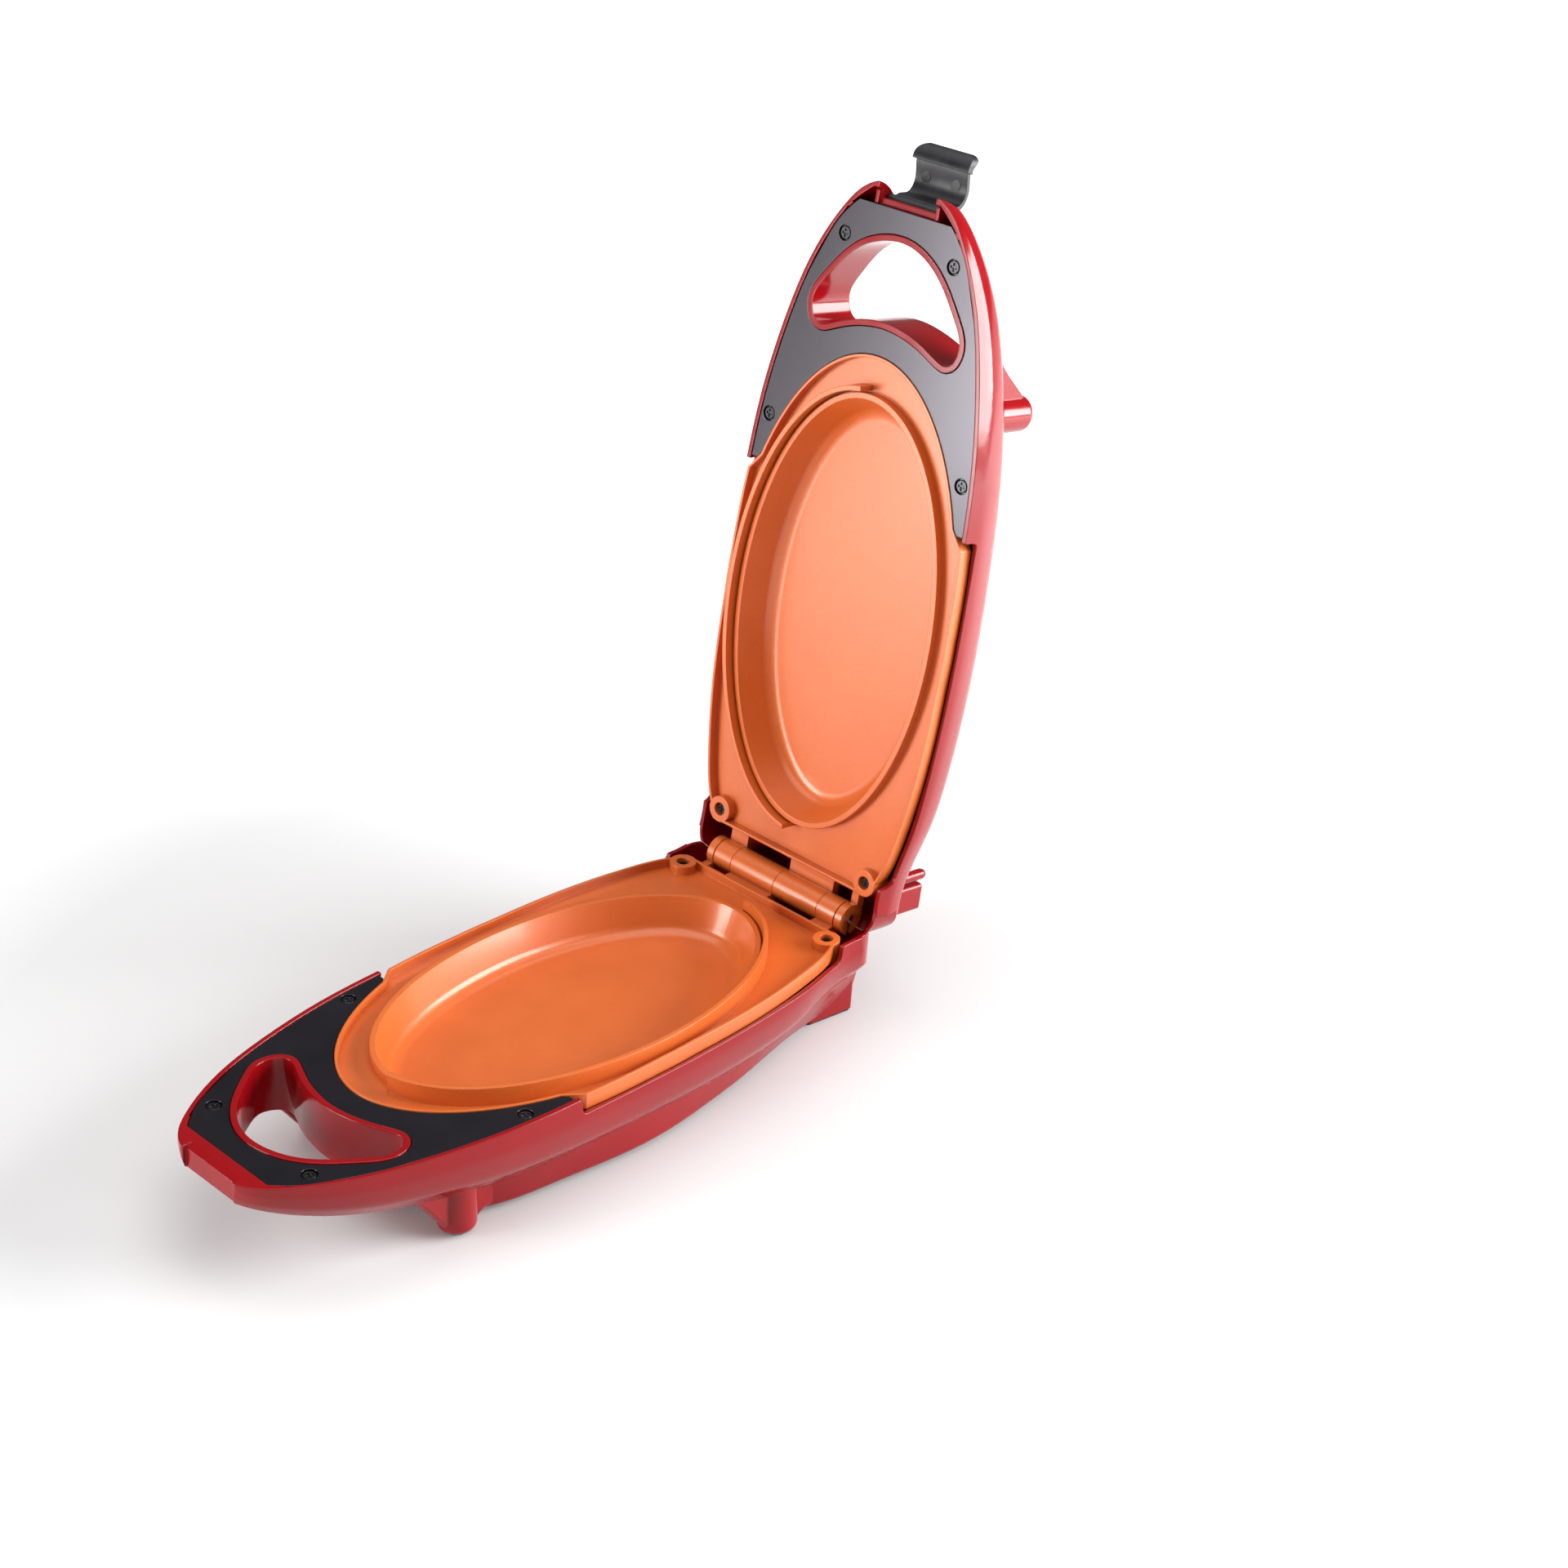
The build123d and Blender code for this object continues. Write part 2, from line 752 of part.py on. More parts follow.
# Upper housing: boat and feet, hollowed, with thin ears and a slot for the latch at its nose
ear_inner = latch_half_width + latch_side_gap
pocket_places = [slot_floor, (slot_floor + reach) / 2, reach - lip]
pocket = shell_solid(pocket_places, lip) - nose_round(lip)
with BuildPart() as ears:
    with Locations((0, -slot_floor, -ear_top)):
        Box(
            2 * (ear_inner + ear_thickness),
            ear_front - slot_floor,
            shell_depth,
            align=(Align.CENTER, Align.MAX, Align.MAX),
        )
        Box(
            2 * ear_inner,
            ear_front - slot_floor,
            shell_depth,
            align=(Align.CENTER, Align.MAX, Align.MAX),
            mode=Mode.SUBTRACT,
        )
    with Locations((0, -slot_floor, -bar_top)):
        Box(
            2 * ear_inner,
            bar_front - slot_floor,
            bar_depth - bar_top,
            align=(Align.CENTER, Align.MAX, Align.MAX),
        )

with BuildPart() as upper_shell:
    add(boat)
    add(feet.part)
    add(upper_rear_feet.part)
    add(cavity, mode=Mode.SUBTRACT)
    add(nose_round(0), mode=Mode.SUBTRACT)
    with Locations((0, -slot_floor, overrun)):
        Box(
            2 * ear_inner,
            reach,
            foot_height,
            align=(Align.CENTER, Align.MAX, Align.MAX),
            mode=Mode.SUBTRACT,
        )
    add(pocket, mode=Mode.SUBTRACT)
    add((ears.part & boat) - nose_round(0))
    add(top_cuts.part, mode=Mode.SUBTRACT)
    add(inner_walls)
    add(hole_cut.part, mode=Mode.SUBTRACT)
    add(pilots.part, mode=Mode.SUBTRACT)
    with Locations(Location((0, -latch_pivot[0], -latch_pivot[1]), (0, 1, 0), 90)):
        Cylinder(latch_pin_radius, 2 * (ear_inner + ear_thickness), mode=Mode.SUBTRACT)

# Trim plate round the finger hole
with BuildPart() as trim:
    with BuildSketch(Plane.XY.offset(-trim_drop)):
        add(rim_face(lip + seat_gap))
        with Locations(plan(0, (trim_nose - seat_gap + trim_tip) / 2)):
            Rectangle(
                half_width * 2, trim_nose - seat_gap - trim_tip, mode=Mode.INTERSECT
            )
        add(plate_face(-seat_gap), mode=Mode.SUBTRACT)
        add(hole_face(hole_lip + seat_gap), mode=Mode.SUBTRACT)
    extrude(amount=-trim_thickness)
    for place in trim_screw_places:
        with Locations(*pair(place, trim_drop)):
            CounterBoreHole(
                trim_screw_shank + slip, trim_hole_radius, trim_screw_recess, trim_thickness
            )

# Cooking plate: tray, well, sealing ridge, bosses and knuckles
with BuildPart() as cooking:
    with BuildSketch(Plane.XY.offset(-part_gap)):
        add(plate_face(0))
    extrude(amount=-(plate_height - part_gap))
    with BuildSketch(Plane.XY.offset(-part_gap)):
        add(plate_face(plate_rim_width))
    extrude(amount=-(tray_depth - part_gap), mode=Mode.SUBTRACT)
    with BuildSketch(Plane.XY.offset(-part_gap)):
        add(ellipse_face(ring_width))
    extrude(amount=-(plate_height - part_gap))
    narrowing = well_depth * tan(radians(well_draft))
    add(
        frustum(
            plate_skin,
            plate_skin - narrowing,
            plate_height,
            plate_underside,
            well_floor_radius + plate_skin,
        )
    )
    with BuildSketch(Plane.XY.offset(-tray_depth)):
        add(ellipse_face(ridge_gap + ridge_width + ridge_foot))
        add(ellipse_face(ridge_gap), mode=Mode.SUBTRACT)
        with Locations((ridge_end, -well_centre)):
            Rectangle(
                half_width,
                reach,
                align=(Align.MIN, Align.CENTER),
                mode=Mode.INTERSECT,
            )
    extrude(amount=tray_depth + ridge_rise)
    with Locations(*pair((boss_x, boss_v), part_gap)):
        Cylinder(
            boss_radius,
            plate_height + boss_drop - part_gap,
            align=(Align.CENTER, Align.CENTER, Align.MAX),
        )
    add(
        frustum(0, -narrowing, 0, well_depth, well_floor_radius),
        mode=Mode.SUBTRACT,
    )
    with Locations(*pair((boss_x, boss_v), part_gap)):
        CounterBoreHole(
            plate_screw_shank + slip,
            counterbore_radius,
            counterbore_depth,
            plate_height + boss_drop,
        )
    with Locations(*[plan(0, v) for v in stud_places]):
        with Locations((0, 0, -plate_underside)):
            Cylinder(
                stud_radius,
                shield_depth - plate_underside,
                align=(Align.CENTER, Align.CENTER, Align.MAX),
            )
    with Locations(*[(0, -v, -shield_depth) for v in stud_places]):
        Cylinder(
            shield_screw_shank,
            shield_depth - plate_underside,
            align=(Align.CENTER, Align.CENTER, Align.MIN),
            mode=Mode.SUBTRACT,
        )
    lug_end = knuckle_long + knuckle_short + lug_gap + lug_width
    spans = (
        (-knuckle_long, -knuckle_gap / 2),
        (knuckle_long + knuckle_gap, knuckle_long + knuckle_short),
        (-lug_end, lug_width - lug_end),
    )
    for start, end in spans:
        with BuildSketch(Plane.YZ.offset(start)):
            Circle(knuckle_radius)
            with Locations(side(plate_rear / 2 + plate_rim_width / 2, web_drop)):
                Rectangle(
                    plate_rear + plate_rim_width,
                    plate_height - web_drop,
                    align=(Align.CENTER, Align.MAX),
                )
        extrude(amount=end - start)
    with BuildSketch(Plane.YZ.offset(-lug_end)):
        with Locations((0, 0)):
            Rectangle(
                knuckle_radius * 2, lug_slot, align=(Align.MIN, Align.CENTER)
            )
    extrude(amount=lug_width, mode=Mode.SUBTRACT)
    with Locations(Location((0, 0, 0), (0, 1, 0), 90)):
        Cylinder(hinge_pin_radius + slip, 3 * lug_end, mode=Mode.SUBTRACT)

# Hinge pin, held in the base plate's knuckles
with BuildPart() as hinge_pin:
    with Locations(Location((0, 0, 0), (0, 1, 0), 90)):
        Cylinder(hinge_pin_radius, 2 * lug_end)
    chamfer(hinge_pin.edges(), length=hinge_pin_radius / 6)

# Screws of the trim, of the plate and of the heat shield
with BuildPart() as trim_screws:
    trim_screw = screw_solid(
        trim_screw_head, trim_screw_head_height, trim_screw_shank, trim_screw_length
    )
    for place in trim_screw_places:
        with Locations(*pair(place, trim_drop + trim_screw_recess - trim_screw_head_height)):
            add(trim_screw)

with BuildPart() as plate_screws:
    plate_screw = screw_solid(
        plate_screw_head, plate_screw_head_height, plate_screw_shank, plate_screw_length
    )
    head_seat = counterbore_depth + part_gap - plate_screw_head_height
    with Locations(*pair((boss_x, boss_v), head_seat)):
        add(plate_screw)

with BuildPart() as shield_screws:
    shield_screw = screw_solid(
        shield_screw_head,
        shield_screw_head_height,
        shield_screw_shank - slip,
        shield_screw_length,
    )
    head_top = shield_depth + shield_thickness + shield_screw_head_height
    for v in stud_places:
        with Locations(Location((0, -v, -head_top), (1, 0, 0), 180)):
            add(shield_screw)

# Heating element: a steel tube bent to a U under the well, with a pin at each end
with BuildPart() as element:
    with BuildLine() as route:
        leg = Line(
            (element_half_span, -element_end_v, -element_depth),
            (element_half_span, -element_bend_v, -element_depth),
        )
        bend = ThreePointArc(
            leg @ 1,
            (0, -element_bend_v - element_half_span, -element_depth),
            (-element_half_span, -element_bend_v, -element_depth),
        )
        Line(bend @ 1, (-element_half_span, -element_end_v, -element_depth))
    with BuildSketch(Plane(origin=leg @ 0, z_dir=leg % 0)):
        Circle(element_radius)
    sweep()
    with Locations(*pair((element_half_span, element_end_v), element_depth)):
        Cylinder(
            element_pin_radius,
            element_pin_length,
            rotation=(-90, 0, 0),
            align=(Align.CENTER, Align.CENTER, Align.MIN),
        )

# Heat shield: a shallow oval pan on two studs under the well
with BuildPart() as shield:
    with BuildSketch(Plane.XY.offset(-shield_depth - shield_thickness)):
        with Locations(plan(0, well_centre)):
            Ellipse(shield_width, shield_length)
    extrude(amount=shield_flange)
    with BuildSketch(Plane.XY.offset(-shield_depth)):
        with Locations(plan(0, well_centre)):
            Ellipse(shield_width - shield_thickness, shield_length - shield_thickness)
    extrude(amount=shield_flange, mode=Mode.SUBTRACT)
    with Locations(*pair((element_half_span, element_end_v), shield_depth)):
        Box(
            2 * element_radius + 2 * seat_gap,
            2 * shield_notch,
            shield_flange,
            align=(Align.CENTER, Align.CENTER, Align.MIN),
            mode=Mode.SUBTRACT,
        )
    with Locations(*[(0, -v, -shield_depth) for v in stud_places]):
        Hole(shield_screw_shank)

# Thermostat and thermal fuse on the underside of the well
with BuildPart() as thermostat:
    with Locations((0, -thermostat_v, -plate_underside)):
        Cylinder(
            thermostat_radius,
            thermostat_height / 3,
            align=(Align.CENTER, Align.CENTER, Align.MAX),
        )
    with Locations((0, -thermostat_v, -plate_underside - thermostat_height / 3)):
        Cylinder(
            thermostat_radius * 0.8,
            thermostat_height * 0.45,
            align=(Align.CENTER, Align.CENTER, Align.MAX),
        )
    with Locations((0, -thermostat_v, -plate_underside - thermostat_height / 2)):
        Box(thermostat_radius * 2.6, thermostat_radius * 0.4, thermostat_height / 8)

with BuildPart() as fuse:
    with Locations((fuse_place[0], -fuse_place[1], -plate_underside - fuse_radius)):
        Cylinder(fuse_radius, fuse_length, rotation=(90, 0, 0))
        Cylinder(fuse_radius / 4, fuse_length * 2, rotation=(90, 0, 0))

# Terminal block on the belly's floor, and the gland of the supply cord beside it
floor_depth = belly_depth - wall
with BuildPart() as block:
    with Locations((0, -block_v, -floor_depth)):
        Box(*block_size, align=(Align.CENTER, Align.CENTER, Align.MIN))
    with Locations((0, -block_v, block_size[2] - floor_depth)):
        with GridLocations(block_size[0] / 3, 0, 3, 1):
            Hole(block_size[1] / 6, depth=block_size[2] / 2)

belly_tail = -belly_top_shares[-1][0] * reach
with BuildPart() as gland:
    with BuildSketch(Plane.XZ.offset(-belly_tail)):
        with Locations((0, -gland_depth)):
            Circle(gland_flange)
    extrude(amount=-gland_flange_thickness)
    chamfer(gland.edges().sort_by(Axis.Y)[-1], length=gland_flange_thickness / 3)
    with BuildSketch(Plane.XZ.offset(-belly_tail)):
        with Locations((0, -gland_depth)):
            Circle(gland_neck - slip)
    extrude(amount=wall)
    with BuildSketch(Plane.XZ.offset(wall - belly_tail)):
        with Locations((0, -gland_depth)):
            Circle((gland_neck + gland_flange) / 2)
    extrude(amount=gland_inner)
    with Locations(Location((0, belly_tail, -gland_depth), (1, 0, 0), 90)):
        Cylinder(gland_bore, 4 * gland_flange_thickness + 2 * gland_inner, mode=Mode.SUBTRACT)


def lead(points, radius):
    """Insulated wire along straight runs joined by arcs."""
    with BuildPart() as wire:
        with BuildLine():
            path = FilletPolyline(*points, radius=radius)
        with BuildSketch(Plane(origin=path @ 0, z_dir=path % 0)):
            Circle(wire_radius)
        sweep()
    return wire.part


# Wires from the element's pins: to the terminal block below, or toward the hinge above
pin_end = element_end_v - element_pin_length
block_top = floor_depth - block_size[2]
wire_bend = 4 * wire_radius
with BuildPart() as base_leads:
    for sign in (1, -1):
        add(
            lead(
                (
                    (sign * element_half_span, -pin_end, -element_depth),
                    (sign * element_half_span, -block_v - wire_bend, -element_depth),
                    (sign * block_size[0] * 0.7, -block_v, -element_depth - 2 * wire_bend),
                    (sign * block_size[0] / 3, -block_v, wire_bend * 1.2 - block_top),
                    (sign * block_size[0] / 3, -block_v, -block_top),
                ),
                wire_bend / 2,
            )
        )

with BuildPart() as lid_leads:
    for sign in (1, -1):
        add(
            lead(
                (
                    (sign * element_half_span, -pin_end, -element_depth),
                    (sign * element_half_span, -block_v, -element_depth),
                    (sign * (element_half_span + wire_bend), -boss_v, plate_height - element_depth),
                    (sign * (element_half_span + wire_bend), -tail, plate_height - element_depth),
                ),
                wire_bend,
            )
        )

# Rubber pads under the feet
with BuildPart() as front_pads:
    with Locations(*pair(front_foot, foot_height)):
        Cylinder(front_pad_radius, pad_height, align=(Align.CENTER, Align.CENTER, Align.MIN))

with BuildPart() as lower_rear_pads:
    with BuildSketch(Plane.XY.offset(-foot_height)):
        add(rear_foot_faces(lower_rear_foot_front, lower_rear_foot_taper, rear_pad_inset))
    extrude(amount=pad_height)

with BuildPart() as upper_rear_pads:
    with BuildSketch(Plane.XY.offset(-foot_height)):
        add(rear_foot_faces(upper_rear_foot_front, upper_rear_foot_taper, rear_pad_inset))
        with Locations(plan(*heel_post_place), plan(-heel_post_place[0], heel_post_place[1])):
            Circle(heel_post_radius - rear_pad_inset / 2)
    extrude(amount=pad_height)



def latch_points(shares):
    """Points of the latch's side view from shares of its reach and rise."""
    v, depth = latch_pivot
    return [side(v + a * latch_lip_reach, depth + b * latch_lip_rise) for a, b in shares]


# Latch: hub, arm and blade, and a wider lip with a hook and rounded corners
with BuildPart() as latch:
    with BuildSketch(Plane.YZ):
        with BuildLine():
            Spline(*latch_points(latch_line_shares))
        trace(line_width=latch_thickness)
    extrude(amount=blade_half_width, both=True)
    with BuildSketch(Plane.YZ):
        with BuildLine():
            ThreePointArc(*latch_points(latch_roll_shares))
            Spline(*latch_points(latch_outside_shares))
            Polyline(
                *latch_points((latch_outside_shares[-1], *reversed(latch_hook_shares)))
            )
        make_face()
        with Locations(side(*latch_pivot)):
            Circle(latch_hub_radius)
    extrude(amount=latch_half_width, both=True)
    lip_end = latch_pivot[0] + latch_roll_shares[-1][0] * latch_lip_reach
    with BuildSketch(Plane.XY):
        with Locations(plan(0, lip_end - reach / 2)):
            RectangleRounded(2 * latch_half_width, reach, latch_corner)
    extrude(amount=foot_height, both=True, mode=Mode.INTERSECT)
    mark_depth = latch_pivot[1] + blade_mark_share * latch_lip_rise - latch_thickness / 2
    for x, y, z in pair(blade_mark, mark_depth - blade_mark_rise):
        with Locations(Location((x, y, z), (1, 0, 0), blade_mark_tilt)):
            Cylinder(
                blade_mark_radius,
                latch_thickness,
                align=(Align.CENTER, Align.CENTER, Align.MAX),
            )
    with Locations(Location((0, -latch_pivot[0], -latch_pivot[1]), (0, 1, 0), 90)):
        Cylinder(latch_pin_radius + slip, 4 * latch_half_width, mode=Mode.SUBTRACT)

with BuildPart() as latch_pin:
    with Locations(Location((0, -latch_pivot[0], -latch_pivot[1]), (0, 1, 0), 90)):
        Cylinder(latch_pin_radius, 2 * (ear_inner + ear_thickness))
    chamfer(latch_pin.edges(), length=latch_pin_radius / 5)

# Every piece, set in its half
for half, place in (("lower", base_place), ("upper", lid_place)):
    make_node(f"{half}_trim_plate", trim.part, place)
    make_node(f"{half}_cooking_plate", cooking.part, place)
    make_node(f"{half}_trim_screws", trim_screws.part, place)
    make_node(f"{half}_plate_screws", plate_screws.part, place)
    make_node(f"{half}_shield_screws", shield_screws.part, place)
    make_node(f"{half}_heating_element", element.part, place)
    make_node(f"{half}_heat_shield", shield.part, place)
    make_node(f"{half}_thermostat", thermostat.part, place)
    make_node(f"{half}_thermal_fuse", fuse.part, place)
    make_node(f"{half}_front_foot_pads", front_pads.part, place)
make_node("lower_housing", lower_shell.part, base_place)
make_node("upper_housing", upper_shell.part, lid_place)
make_node("lower_rear_foot_pads", lower_rear_pads.part, base_place)
make_node("upper_rear_foot_pads", upper_rear_pads.part, lid_place)
make_node("lower_leads", base_leads.part, base_place)
make_node("upper_leads", lid_leads.part, lid_place)
make_node("hinge_pin", hinge_pin.part, base_place)
make_node("terminal_block", block.part, base_place)
make_node("cord_gland", gland.part, base_place)
make_node("latch", latch.part, lid_place)
make_node("latch_pin", latch_pin.part, lid_place)
print("hinge axis", 0, axis_y, foot_height)
print("latch axis", (lid_place * Location((0, -latch_pivot[0], -latch_pivot[1]))).position)
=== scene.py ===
"""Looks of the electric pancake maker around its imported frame. Metres, in the CAD's frame."""
import json
import math

import bpy
from mathutils import Matrix, Vector

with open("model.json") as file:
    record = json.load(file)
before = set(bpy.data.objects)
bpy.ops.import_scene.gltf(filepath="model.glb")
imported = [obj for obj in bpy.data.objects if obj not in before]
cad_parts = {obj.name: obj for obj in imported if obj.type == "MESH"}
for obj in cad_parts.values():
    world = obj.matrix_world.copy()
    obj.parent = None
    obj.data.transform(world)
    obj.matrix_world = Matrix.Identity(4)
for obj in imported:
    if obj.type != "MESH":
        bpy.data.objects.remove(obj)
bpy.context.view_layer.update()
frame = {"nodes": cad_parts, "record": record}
nodes = frame["nodes"]

MM = 0.001

# Camera fitted to the photograph, in millimetres from the hinge axis
HINGE = Vector((0.0, 131.597, 56.0))
CAMERA_PLACE = Vector((760.33, -874.73, 676.13))
CAMERA_AZIMUTH = 41.1453
CAMERA_ELEVATION = 28.0578
CAMERA_ROLL = 4.108
CAMERA_LENS = 59.71
CAMERA_SENSOR = 36.0
CAMERA_CLIP = (0.01, 50.0)  # metres

# Part of a noise's range that a ramp or a roughness is spread over
NOISE_SPAN = (0.3, 0.7)

# Edge rounding that shows in the light only, in metres
CAST_EDGE = 0.0008
MOULDED_EDGE = 0.0005
SMALL_EDGE = 0.0002
BEVEL_SAMPLES = 6

# Floor: half its size, its two greys, and how it glows from one distance to another
FLOOR_SIZE = 20.0
FLOOR_GREYS = (0.64, 0.67)
FLOOR_GRAIN = 0.4
FLOOR_ROUGHNESS = 0.85
GLOW_STRENGTH = (0.0, 1.0)
GLOW_DISTANCE = (0.3, 0.9)

# Lights: name, place, target, size and power
LIGHTS = (
    ("top_light", (0.0, 0.2, 3.0), (0.0, 0.2, 0.0), (4.0, 4.0), 105.0),
    ("left_front_light", (-0.78, -1.6, 0.35), (0.0, 0.15, 0.28), (0.75, 1.1), 40.0),
    ("right_rear_light", (1.35, 1.3, 0.7), (0.0, 0.15, 0.2), (1.3, 1.1), 78.0),
)
WHITE = (1.0, 1.0, 1.0, 1.0)
WORLD_STRENGTH = 0.14


def add_camera():
    """Camera at the photograph's viewing angle."""
    az, el = math.radians(CAMERA_AZIMUTH), math.radians(CAMERA_ELEVATION)
    back = Vector((math.sin(az) * math.cos(el), -math.cos(az) * math.cos(el), math.sin(el)))
    right = Vector((math.cos(az), math.sin(az), 0.0))
    up = back.cross(right)
    roll = math.radians(CAMERA_ROLL)
    right_rolled = math.cos(roll) * right + math.sin(roll) * up
    up_rolled = -math.sin(roll) * right + math.cos(roll) * up
    data = bpy.data.cameras.new("camera")
    data.sensor_width = CAMERA_SENSOR
    data.lens = CAMERA_LENS
    data.clip_start, data.clip_end = CAMERA_CLIP
    camera = bpy.data.objects.new("camera", data)
    turn = Matrix((right_rolled, up_rolled, back)).transposed().to_4x4()
    camera.matrix_world = Matrix.Translation((HINGE + CAMERA_PLACE) * MM) @ turn
    bpy.context.scene.collection.objects.link(camera)
    bpy.context.scene.camera = camera


add_camera()


class Shader:
    """Small builder of one procedural material."""

    def __init__(self, name):
        self.material = bpy.data.materials.new(name)
        self.material.use_nodes = True
        self.tree = self.material.node_tree
        self.tree.nodes.clear()
        self.out = self.tree.nodes.new("ShaderNodeOutputMaterial")
        self.bsdf = self.tree.nodes.new("ShaderNodeBsdfPrincipled")
        self.link(self.bsdf.outputs[0], self.out.inputs[0])
        self.coordinates = self.tree.nodes.new("ShaderNodeTexCoord").outputs["Object"]

    def link(self, source, target):
        self.tree.links.new(source, target)

    def set(self, **values):
        for key, value in values.items():
            self.bsdf.inputs[key.replace("_", " ")].default_value = value

    def noise(self, size, detail=3.0, roughness=0.5, stretch=None):
        """Noise whose grains are about size metres across."""
        node = self.tree.nodes.new("ShaderNodeTexNoise")
        node.inputs["Scale"].default_value = 1.0 / size
        node.inputs["Detail"].default_value = detail
        node.inputs["Roughness"].default_value = roughness
        if stretch:
            mapping = self.tree.nodes.new("ShaderNodeMapping")
            mapping.inputs["Scale"].default_value = stretch
            self.link(self.coordinates, mapping.inputs["Vector"])
            self.link(mapping.outputs[0], node.inputs["Vector"])
        else:
            self.link(self.coordinates, node.inputs["Vector"])
        return node.outputs["Fac"]

    def ramp(self, source, stops):
        """Colour ramp: stops are (place, colour)."""
        node = self.tree.nodes.new("ShaderNodeValToRGB")
        while len(node.color_ramp.elements) < len(stops):
            node.color_ramp.elements.new(0.5)
        for element, (place, colour) in zip(node.color_ramp.elements, stops):
            element.position = place
            element.color = (*colour, 1.0)
        self.link(source, node.inputs[0])
        return node.outputs["Color"]

    def range(self, source, low, high, start, end):
        """Spread a value from start to end over low to high."""
        node = self.tree.nodes.new("ShaderNodeMapRange")
        node.inputs["From Min"].default_value = start
        node.inputs["From Max"].default_value = end
        node.inputs["To Min"].default_value = low
        node.inputs["To Max"].default_value = high
        self.link(source, node.inputs["Value"])
        return node.outputs["Result"]

    def mix(self, factor, first, second):
        """Mix of two colours, each an output of a node or a plain colour."""
        node = self.tree.nodes.new("ShaderNodeMix")
        node.data_type = "RGBA"
        for socket, value in (
            (node.inputs[0], factor),
            (node.inputs[6], first),
            (node.inputs[7], second),
        ):
            if isinstance(value, tuple):
                socket.default_value = (*value, 1.0)
            else:
                self.link(value, socket)
        return node.outputs[2]

    def bump(self, layers, edge=0.0):
        """Bump from (height, distance) layers, over an optional rounded edge."""
        normal = None
        if edge:
            bevel = self.tree.nodes.new("ShaderNodeBevel")
            bevel.samples = BEVEL_SAMPLES
            bevel.inputs["Radius"].default_value = edge
            normal = bevel.outputs["Normal"]
        for height, distance in layers:
            node = self.tree.nodes.new("ShaderNodeBump")
            node.inputs["Distance"].default_value = distance
            self.link(height, node.inputs["Height"])
            if normal is not None:
                self.link(normal, node.inputs["Normal"])
            normal = node.outputs["Normal"]
        self.link(normal, self.bsdf.inputs["Normal"])


def copper_coating():
    """Nonstick coating of the cooking plates, with fine bright flecks."""
    shader = Shader("copper_coating")
    shader.set(Metallic=0.1, IOR=1.48, Coat_Weight=0.4, Coat_Roughness=0.15)
    patches = shader.noise(0.035, 4.0, 0.6)
    base = shader.ramp(
        patches,
        [(0.3, (0.56, 0.113, 0.017)), (0.55, (0.59, 0.12, 0.019)), (0.75, (0.62, 0.128, 0.022))],
    )
    flecks = shader.noise(0.0004, 2.0, 0.7)
    speckle = shader.range(flecks, 0.0, 0.3, 0.56, 0.75)
    colour = shader.mix(speckle, base, (0.95, 0.36, 0.15))
    shader.link(colour, shader.bsdf.inputs["Base Color"])
    shader.link(shader.range(patches, 0.34, 0.39, *NOISE_SPAN), shader.bsdf.inputs["Roughness"])
    shader.bump(
        [(shader.noise(0.004, 3.0), 0.00002), (flecks, 0.000008)],
        edge=CAST_EDGE,
    )
    return shader.material


def red_housing():
    """Glossy red plastic of both housings."""
    shader = Shader("red_housing")
    shader.set(IOR=1.43)
    tone = shader.noise(0.05, 3.0)
    colour = shader.ramp(
        tone,
        [(0.3, (0.225, 0.002, 0.004)), (0.6, (0.25, 0.0025, 0.005)), (0.8, (0.275, 0.003, 0.006))],
    )
    shader.link(colour, shader.bsdf.inputs["Base Color"])
    smears = shader.noise(0.012, 4.0)
    shader.link(shader.range(smears, 0.1, 0.16, *NOISE_SPAN), shader.bsdf.inputs["Roughness"])
    shader.bump([(shader.noise(0.007, 2.0), 0.000012)], edge=CAST_EDGE)
    return shader.material


def black_trim():
    """Smooth black plastic of the trim plates, a little lilac where it mirrors light."""
    shader = Shader("black_trim")
    shader.set(IOR=1.6)
    shader.bsdf.inputs["Specular Tint"].default_value = (0.98, 0.91, 1.0, 1.0)
    grain = shader.noise(0.00045, 3.0, 0.65)
    tone = shader.noise(0.02, 4.0)
    colour = shader.ramp(tone, [(0.3, (0.003, 0.003, 0.005)), (0.7, (0.007, 0.006, 0.009))])
    shader.link(colour, shader.bsdf.inputs["Base Color"])
    shader.link(shader.range(grain, 0.16, 0.22, *NOISE_SPAN), shader.bsdf.inputs["Roughness"])
    shader.bump([(grain, 0.000012)], edge=MOULDED_EDGE)
    return shader.material


def black_latch():
    """Satin black plastic of the latch."""
    shader = Shader("black_latch")
    shader.set(IOR=1.45)
    grain = shader.noise(0.0006, 3.0, 0.6)
    tone = shader.noise(0.01, 4.0)
    colour = shader.ramp(tone, [(0.3, (0.008, 0.008, 0.01)), (0.7, (0.016, 0.016, 0.019))])
    shader.link(colour, shader.bsdf.inputs["Base Color"])
    shader.link(shader.range(tone, 0.32, 0.44, *NOISE_SPAN), shader.bsdf.inputs["Roughness"])
    shader.bump([(grain, 0.00005)], edge=MOULDED_EDGE)
    return shader.material


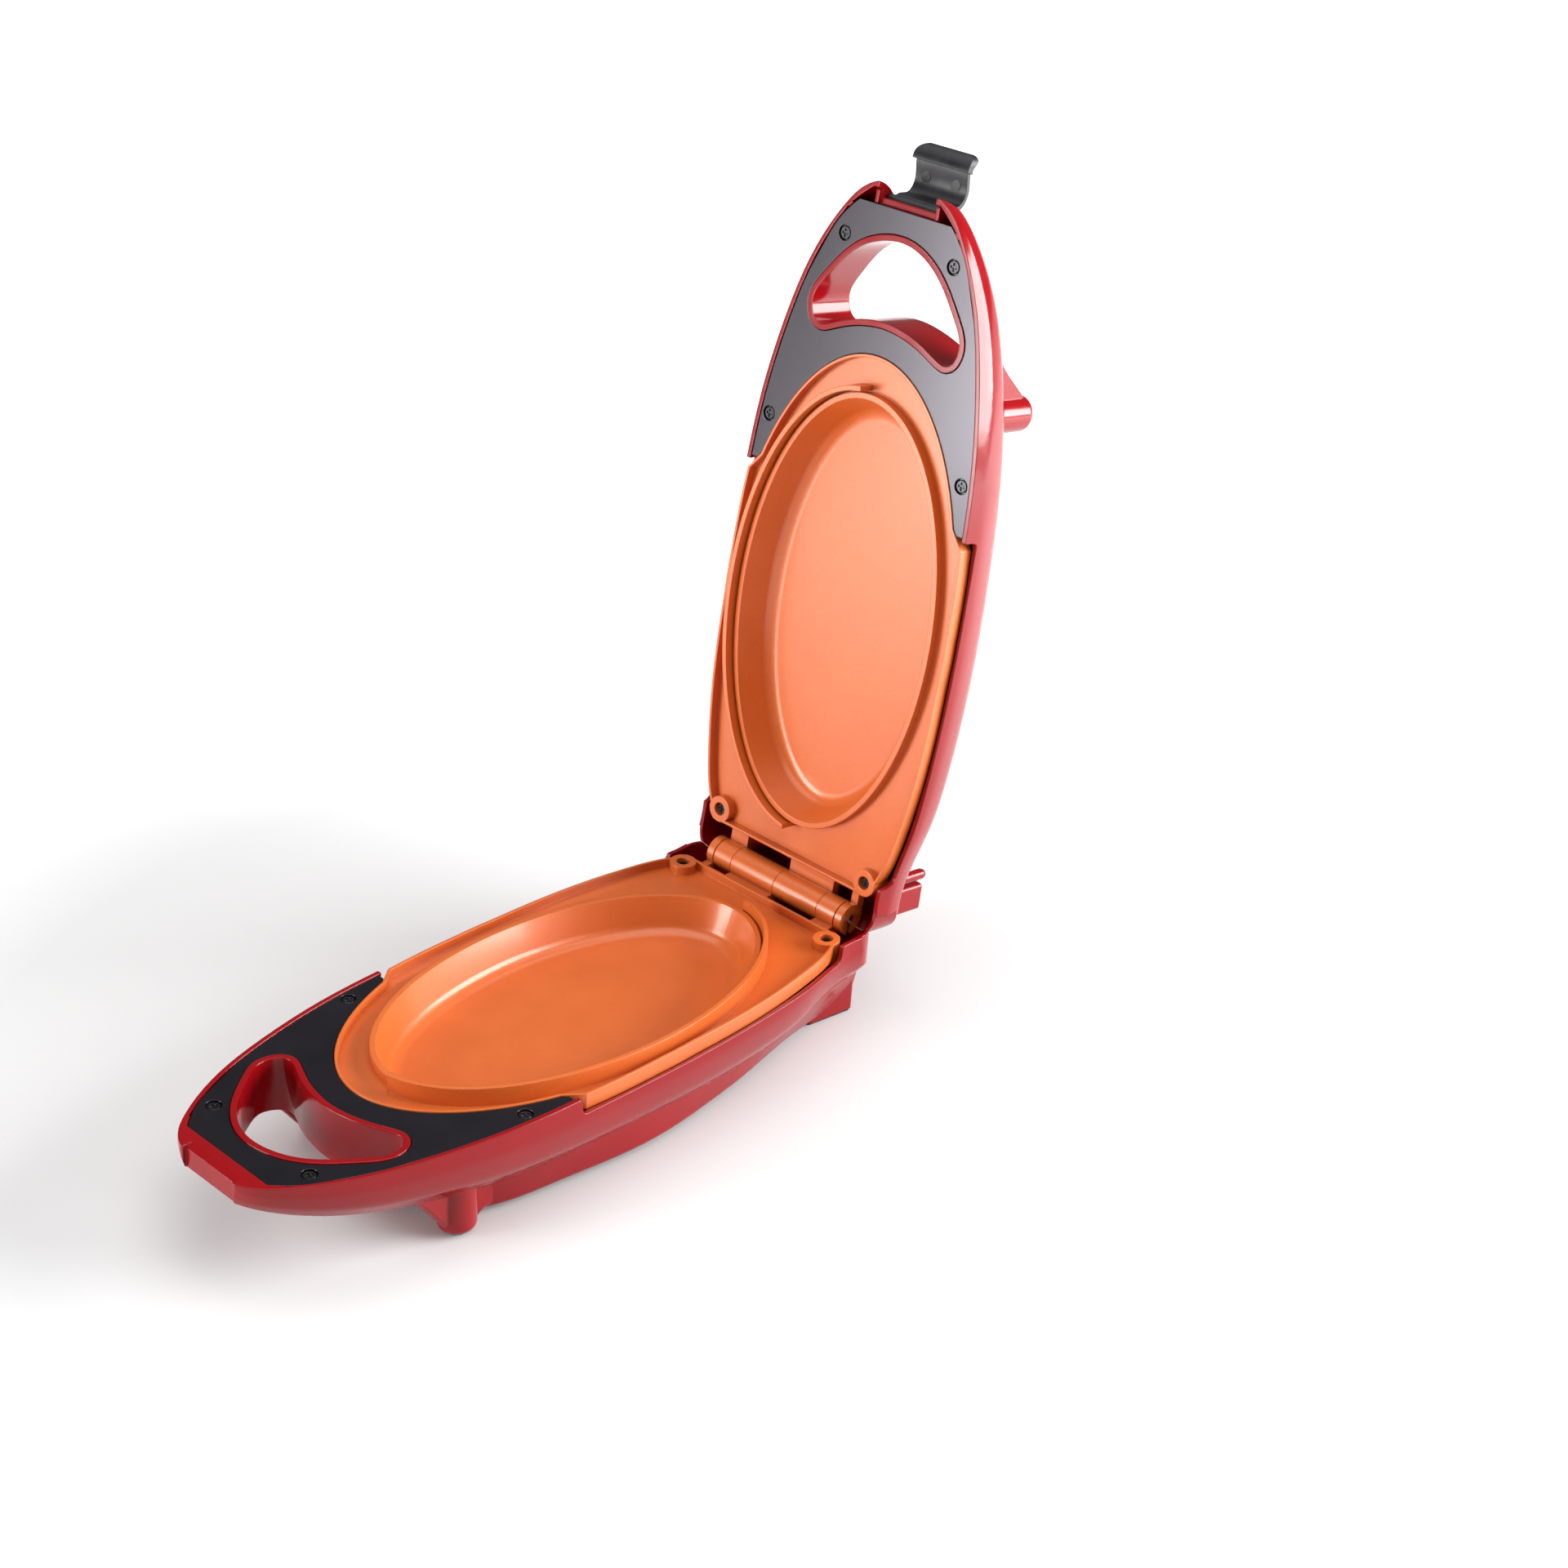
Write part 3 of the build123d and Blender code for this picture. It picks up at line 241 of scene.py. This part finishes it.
def plain(name, low, high, roughness, metallic=0.0, grain=0.0006, depth=0.00003, stretch=None):
    """Material with a mottled colour, a fine grain and roughness from it."""
    shader = Shader(name)
    shader.set(Metallic=metallic, IOR=1.48)
    grains = shader.noise(grain, 3.0, 0.6, stretch)
    tone = shader.noise(0.008, 4.0)
    shader.link(shader.ramp(tone, [(0.3, low), (0.7, high)]), shader.bsdf.inputs["Base Color"])
    shader.link(
        shader.range(grains, roughness * 0.8, roughness * 1.2, *NOISE_SPAN),
        shader.bsdf.inputs["Roughness"],
    )
    shader.bump([(grains, depth)], edge=SMALL_EDGE)
    return shader.material


MATERIALS = {
    "nonstick": copper_coating(),
    "housing_plastic": red_housing(),
    "trim_plastic": black_trim(),
    "latch_plastic": black_latch(),
    "dark_screw": plain("dark_screw", (0.03, 0.03, 0.032), (0.05, 0.049, 0.051), 0.22, 0.85),
    "steel_screw": plain("steel_screw", (0.5, 0.5, 0.48), (0.62, 0.62, 0.6), 0.3, 1.0),
    "element_steel": plain("element_steel", (0.16, 0.15, 0.14), (0.3, 0.28, 0.26), 0.42, 1.0),
    "shield_steel": plain(
        "shield_steel", (0.5, 0.5, 0.5), (0.66, 0.66, 0.65), 0.34, 1.0, stretch=(1.0, 0.05, 1.0)
    ),
    "control_ceramic": plain("control_ceramic", (0.62, 0.58, 0.5), (0.74, 0.7, 0.62), 0.6),
    "fuse_sleeve": plain("fuse_sleeve", (0.6, 0.58, 0.5), (0.72, 0.7, 0.62), 0.8, depth=0.0001),
    "foot_rubber": plain("foot_rubber", (0.012, 0.012, 0.012), (0.022, 0.022, 0.022), 0.7),
    "lead_sleeve": plain("lead_sleeve", (0.6, 0.58, 0.52), (0.7, 0.68, 0.62), 0.5),
    "pin_steel": plain("pin_steel", (0.45, 0.45, 0.45), (0.6, 0.6, 0.6), 0.25, 1.0),
    "block_ceramic": plain("block_ceramic", (0.68, 0.66, 0.6), (0.78, 0.76, 0.7), 0.45),
    "gland_plastic": plain("gland_plastic", (0.014, 0.014, 0.014), (0.024, 0.024, 0.024), 0.45),
}

slots = {row["node"]: row["material_slot"] for row in frame["record"]["subparts"]}
for name, node in nodes.items():
    node.data.materials.clear()
    node.data.materials.append(MATERIALS[slots[name]])


def add_floor():
    """Plain pale floor that glows a little away from the object, as a lit backdrop does."""
    size = FLOOR_SIZE
    mesh = bpy.data.meshes.new("floor")
    mesh.from_pydata(
        [(-size, -size, 0), (size, -size, 0), (size, size, 0), (-size, size, 0)], [], [(0, 1, 2, 3)]
    )
    floor = bpy.data.objects.new("floor", mesh)
    shader = Shader("floor_paper")
    tone = shader.noise(FLOOR_GRAIN, 3.0)
    stops = [(place, (grey, grey, grey)) for place, grey in zip(NOISE_SPAN, FLOOR_GREYS)]
    shader.link(shader.ramp(tone, stops), shader.bsdf.inputs["Base Color"])
    shader.set(Roughness=FLOOR_ROUGHNESS)
    shader.bsdf.inputs["Emission Color"].default_value = WHITE
    distance = shader.tree.nodes.new("ShaderNodeVectorMath")
    distance.operation = "LENGTH"
    shader.link(shader.coordinates, distance.inputs[0])
    glow = shader.range(distance.outputs["Value"], *GLOW_STRENGTH, *GLOW_DISTANCE)
    shader.link(glow, shader.bsdf.inputs["Emission Strength"])
    mesh.materials.append(shader.material)
    bpy.context.scene.collection.objects.link(floor)


add_floor()


def area_light(name, place, target, size, power):
    """Soft box that faces a point."""
    data = bpy.data.lights.new(name, "AREA")
    data.shape = "RECTANGLE"
    data.size, data.size_y = size
    data.energy = power
    light = bpy.data.objects.new(name, data)
    light.location = place
    light.rotation_euler = (Vector(target) - Vector(place)).to_track_quat("-Z", "Y").to_euler()
    bpy.context.scene.collection.objects.link(light)


for light_row in LIGHTS:
    area_light(*light_row)

world = bpy.data.worlds.new("studio")
world.use_nodes = True
world.node_tree.nodes["Background"].inputs[0].default_value = WHITE
world.node_tree.nodes["Background"].inputs[1].default_value = WORLD_STRENGTH
bpy.context.scene.world = world

bpy.context.scene.view_settings.view_transform = "Standard"
